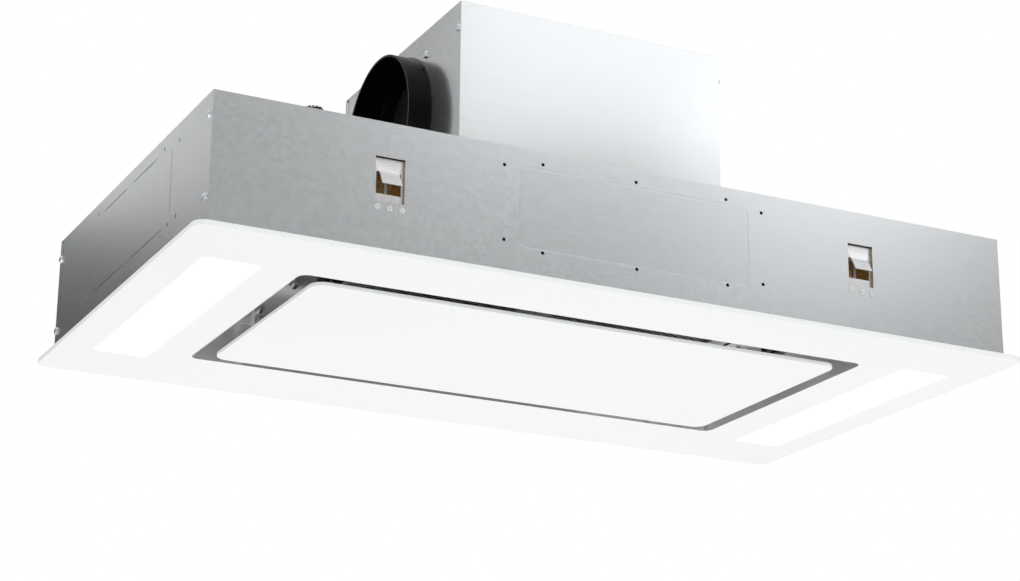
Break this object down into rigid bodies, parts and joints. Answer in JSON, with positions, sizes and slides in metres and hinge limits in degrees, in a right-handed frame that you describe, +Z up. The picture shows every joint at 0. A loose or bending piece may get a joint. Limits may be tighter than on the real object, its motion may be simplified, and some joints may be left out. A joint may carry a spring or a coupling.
{
  "type": "ceiling range hood",
  "caption": "Ceiling range hood: white glass with a lit rim and a hinged suction panel, galvanised chassis with ceiling clamps, motor box and side duct collar.",
  "frame": {"origin": "middle of the outline's box, at the underside of the suction panel", "axes": "+Z up into the ceiling, +X along the long side away from the duct collar, -Y towards the long side shown in front"},
  "size_m": [0.9, 0.5, 0.322],
  "materials": {
    "white_glass": "white back-painted glass, gloss",
    "galvanised_sheet": "galvanised, matt",
    "polished_stainless": "polished stainless steel",
    "zinc_steel": "bright zinc plated",
    "yellow_zinc": "yellow passivated zinc",
    "white_screw": "white painted",
    "black_gloss_plastic": "gloss black",
    "black_plastic": "moulded, matt black",
    "grey_plastic": "moulded, satin grey",
    "filter_aluminium": "satin aluminium",
    "filter_mesh": "expanded aluminium mesh",
    "opal_plastic": "opal diffuser, lit",
    "led_board": "white lamp board",
    "green_board": "green circuit board",
    "motor_paint": "satin black paint",
    "rubber": "soft black rubber",
    "bright_steel": "ground steel",
    "capacitor_shell": "white plastic"
  },
  "bodies": {
    "hood": {"base_frame": "galvanised_sheet", "cable_gland": "black_plastic", "capacitor": "capacitor_shell", "clamp_bracket_front_left": "yellow_zinc", "clamp_bracket_front_right": "yellow_zinc", "clamp_bracket_rear_left": "yellow_zinc", "clamp_bracket_rear_right": "yellow_zinc", "clamp_fixing_screws": "white_screw", "control_board": "green_board", "control_box": "black_plastic", "control_box_lid": "black_plastic", "corner_screws": "zinc_steel", "fan_motor": "motor_paint", "fan_rails": "galvanised_sheet", "filter_frame_left": "filter_aluminium", "filter_frame_right": "filter_aluminium", "filter_meshes": "filter_mesh", "flap_pin": "bright_steel", "front_wall": "galvanised_sheet", "glass_panel": "white_glass", "hinge_brackets": "zinc_steel", "hinge_pins": "bright_steel", "led_diffusers": "opal_plastic", "led_housings": "zinc_steel", "led_strips": "led_board", "left_wall": "galvanised_sheet", "motor_box_lid": "galvanised_sheet", "motor_box_rear": "galvanised_sheet", "motor_box_screws": "zinc_steel", "motor_box_shell": "galvanised_sheet", "motor_bracket": "zinc_steel", "motor_mounts": "rubber", "outlet_collar": "black_gloss_plastic", "panel_catches": "black_plastic", "rear_wall": "galvanised_sheet", "right_wall": "galvanised_sheet", "suction_tray": "polished_stainless", "top_plate": "galvanised_sheet", "tray_screws": "bright_steel", "volute_front_plate": "galvanised_sheet", "volute_rear_plate": "galvanised_sheet", "volute_scroll": "galvanised_sheet"},
    "panel": {"suction_panel": "white_glass", "panel_carrier": "zinc_steel", "catch_studs": "bright_steel"},
    "rotor": {"impeller": "zinc_steel", "fan_shaft": "bright_steel"},
    "front_flap": {"flap_front": "black_plastic"},
    "rear_flap": {"flap_rear": "black_plastic"},
    "latch_left": {"filter_latch_left": "black_plastic"},
    "latch_right": {"filter_latch_right": "black_plastic"},
    "carriage_front_left": {"clamp_carriage_front_left": "zinc_steel"},
    "screw_front_left": {"clamp_screw_front_left": "zinc_steel"},
    "carriage_front_right": {"clamp_carriage_front_right": "zinc_steel"},
    "screw_front_right": {"clamp_screw_front_right": "zinc_steel"},
    "carriage_rear_left": {"clamp_carriage_rear_left": "zinc_steel"},
    "screw_rear_left": {"clamp_screw_rear_left": "zinc_steel"},
    "carriage_rear_right": {"clamp_carriage_rear_right": "zinc_steel"},
    "screw_rear_right": {"clamp_screw_rear_right": "zinc_steel"}
  },
  "joints": [
    {"name": "panel_hinge", "type": "hinge", "parent": "hood", "child": "panel", "pos_m": [-0.0035, 0.122, 0.014], "axis": [1, 0, 0], "range_deg": [0, 90]},
    {"name": "fan_spin", "type": "hinge", "parent": "hood", "child": "rotor", "pos_m": [0.045, 0, 0.229], "axis": [0, 1, 0], "continuous": true},
    {"name": "front_flap_hinge", "type": "hinge", "parent": "hood", "child": "front_flap", "pos_m": [-0.13, 0, 0.229], "axis": [0, 0, -1], "range_deg": [0, 75], "stiffness_Nm_per_rad": 0.002, "springref_deg": -20.05},
    {"name": "rear_flap_hinge", "type": "hinge", "parent": "hood", "child": "rear_flap", "pos_m": [-0.13, 0, 0.229], "axis": [0, 0, 1], "range_deg": [0, 75], "stiffness_Nm_per_rad": 0.002, "springref_deg": -20.05},
    {"name": "latch_left_slide", "type": "slide", "parent": "hood", "child": "latch_left", "axis": [0, 1, 0], "range_m": [0, 0.008], "stiffness_N_per_m": 150, "springref_m": -0.004},
    {"name": "latch_right_slide", "type": "slide", "parent": "hood", "child": "latch_right", "axis": [0, 1, 0], "range_m": [0, 0.008], "stiffness_N_per_m": 150, "springref_m": -0.004},
    {"name": "clamp_front_left_turn", "type": "hinge", "parent": "hood", "child": "screw_front_left", "pos_m": [-0.26035, -0.223, 0.08], "axis": [0, 0, 1], "range_deg": [-6310, 5410]},
    {"name": "clamp_front_left_slide", "type": "slide", "parent": "hood", "child": "carriage_front_left", "axis": [0, 0, 1], "range_m": [-0.012, 0.014]},
    {"name": "clamp_front_right_turn", "type": "hinge", "parent": "hood", "child": "screw_front_right", "pos_m": [0.26035, -0.223, 0.08], "axis": [0, 0, 1], "range_deg": [-6310, 5410]},
    {"name": "clamp_front_right_slide", "type": "slide", "parent": "hood", "child": "carriage_front_right", "axis": [0, 0, 1], "range_m": [-0.012, 0.014]},
    {"name": "clamp_rear_left_turn", "type": "hinge", "parent": "hood", "child": "screw_rear_left", "pos_m": [-0.26035, 0.223, 0.08], "axis": [0, 0, 1], "range_deg": [-6310, 5410]},
    {"name": "clamp_rear_left_slide", "type": "slide", "parent": "hood", "child": "carriage_rear_left", "axis": [0, 0, 1], "range_m": [-0.012, 0.014]},
    {"name": "clamp_rear_right_turn", "type": "hinge", "parent": "hood", "child": "screw_rear_right", "pos_m": [0.26035, 0.223, 0.08], "axis": [0, 0, 1], "range_deg": [-6310, 5410]},
    {"name": "clamp_rear_right_slide", "type": "slide", "parent": "hood", "child": "carriage_rear_right", "axis": [0, 0, 1], "range_m": [-0.012, 0.014]}
  ],
  "couplings": [
    {"joint": "clamp_front_left_turn", "follows": "clamp_front_left_slide", "rad_per_m": -7854},
    {"joint": "clamp_front_right_turn", "follows": "clamp_front_right_slide", "rad_per_m": -7854},
    {"joint": "clamp_rear_left_turn", "follows": "clamp_rear_left_slide", "rad_per_m": -7854},
    {"joint": "clamp_rear_right_turn", "follows": "clamp_rear_right_slide", "rad_per_m": -7854}
  ]
}
